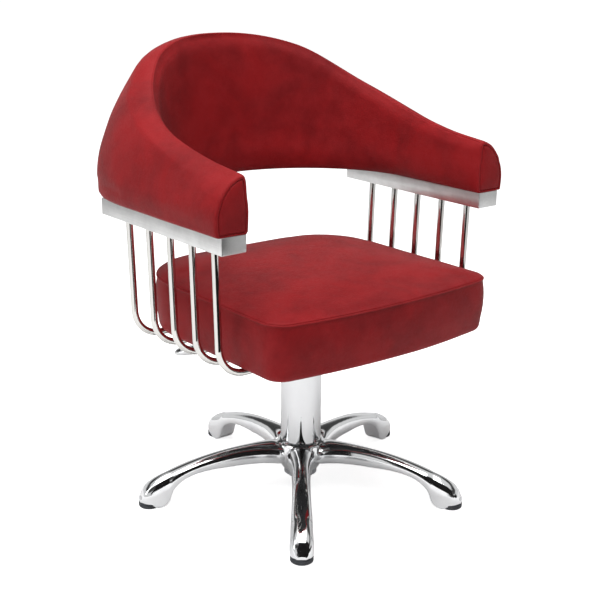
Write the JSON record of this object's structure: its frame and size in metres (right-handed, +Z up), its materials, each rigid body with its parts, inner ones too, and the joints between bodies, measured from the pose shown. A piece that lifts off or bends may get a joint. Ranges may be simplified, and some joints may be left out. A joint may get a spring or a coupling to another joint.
{
  "type": "salon styling chair",
  "caption": "Hydraulic salon styling chair with a swivelling box seat, a horseshoe back-and-arm pad on bent chrome rods, a pump lever and a five-legged base on glides.",
  "frame": {"origin": "on the floor under the middle of the chair's bounding box; the column axis stands 31.6 mm in front of it", "axes": "+Z up; -Y is the way the sitter faces; +X is the sitter's left"},
  "size_m": [0.6428, 0.5992, 0.8436],
  "materials": {
    "polished_aluminium": "polished",
    "chrome": "polished",
    "black_nylon": "satin",
    "dark_steel": "satin",
    "zinc_steel": "satin",
    "plywood": "matte",
    "leatherette": "satin"
  },
  "bodies": {
    "base": {"star_base": "polished_aluminium", "glide_1": "black_nylon", "glide_2": "black_nylon", "glide_3": "black_nylon", "glide_4": "black_nylon", "glide_5": "black_nylon", "pump_cylinder": "dark_steel", "gland_ring": "black_nylon", "hub_nut": "zinc_steel", "column_sleeve": "chrome", "lever_pin": "zinc_steel"},
    "ram": {"piston_ram": "chrome"},
    "seat": {"seat_bracket": "dark_steel", "bracket_screw_1": "zinc_steel", "bracket_screw_2": "zinc_steel", "bracket_screw_3": "zinc_steel", "bracket_screw_4": "zinc_steel", "seat_board": "plywood", "seat_cushion": "leatherette", "rod_bar_left": "dark_steel", "rod_bar_right": "dark_steel", "bar_screw_1": "zinc_steel", "bar_screw_2": "zinc_steel", "bar_screw_3": "zinc_steel", "bar_screw_4": "zinc_steel", "rod_left_1": "chrome", "rod_left_2": "chrome", "rod_left_3": "chrome", "rod_left_4": "chrome", "rod_left_5": "chrome", "rod_right_1": "chrome", "rod_right_2": "chrome", "rod_right_3": "chrome", "rod_right_4": "chrome", "rod_right_5": "chrome", "arm_rail_left": "polished_aluminium", "arm_rail_right": "polished_aluminium", "back_arm_pad": "leatherette", "pad_board": "plywood", "pad_screw_1": "zinc_steel", "pad_screw_2": "zinc_steel", "pad_screw_3": "zinc_steel", "pad_screw_4": "zinc_steel"},
    "lever": {"lever_arm": "chrome", "lever_tread": "chrome"},
    "plunger": {"pump_plunger": "zinc_steel"}
  },
  "joints": [
    {"name": "seat_lift", "type": "slide", "parent": "base", "child": "ram", "axis": [0, 0, 1], "range_m": [0, 0.15]},
    {"name": "seat_swivel", "type": "hinge", "parent": "ram", "child": "seat", "pos_m": [0, -0.0316, 0.31], "axis": [0, 0, 1], "continuous": true},
    {"name": "lever_pump", "type": "hinge", "parent": "base", "child": "lever", "pos_m": [-0.01236, -0.0122, 0.283], "axis": [-0.8434, -0.5373, 0], "range_deg": [0, 18], "stiffness_Nm_per_rad": 2, "springref_deg": -45.84},
    {"name": "plunger_stroke", "type": "slide", "parent": "base", "child": "plunger", "axis": [0, 0, -1], "range_m": [0, 0.0036]}
  ],
  "couplings": [
    {"joint": "plunger_stroke", "follows": "lever_pump", "m_per_rad": 0.0108}
  ]
}
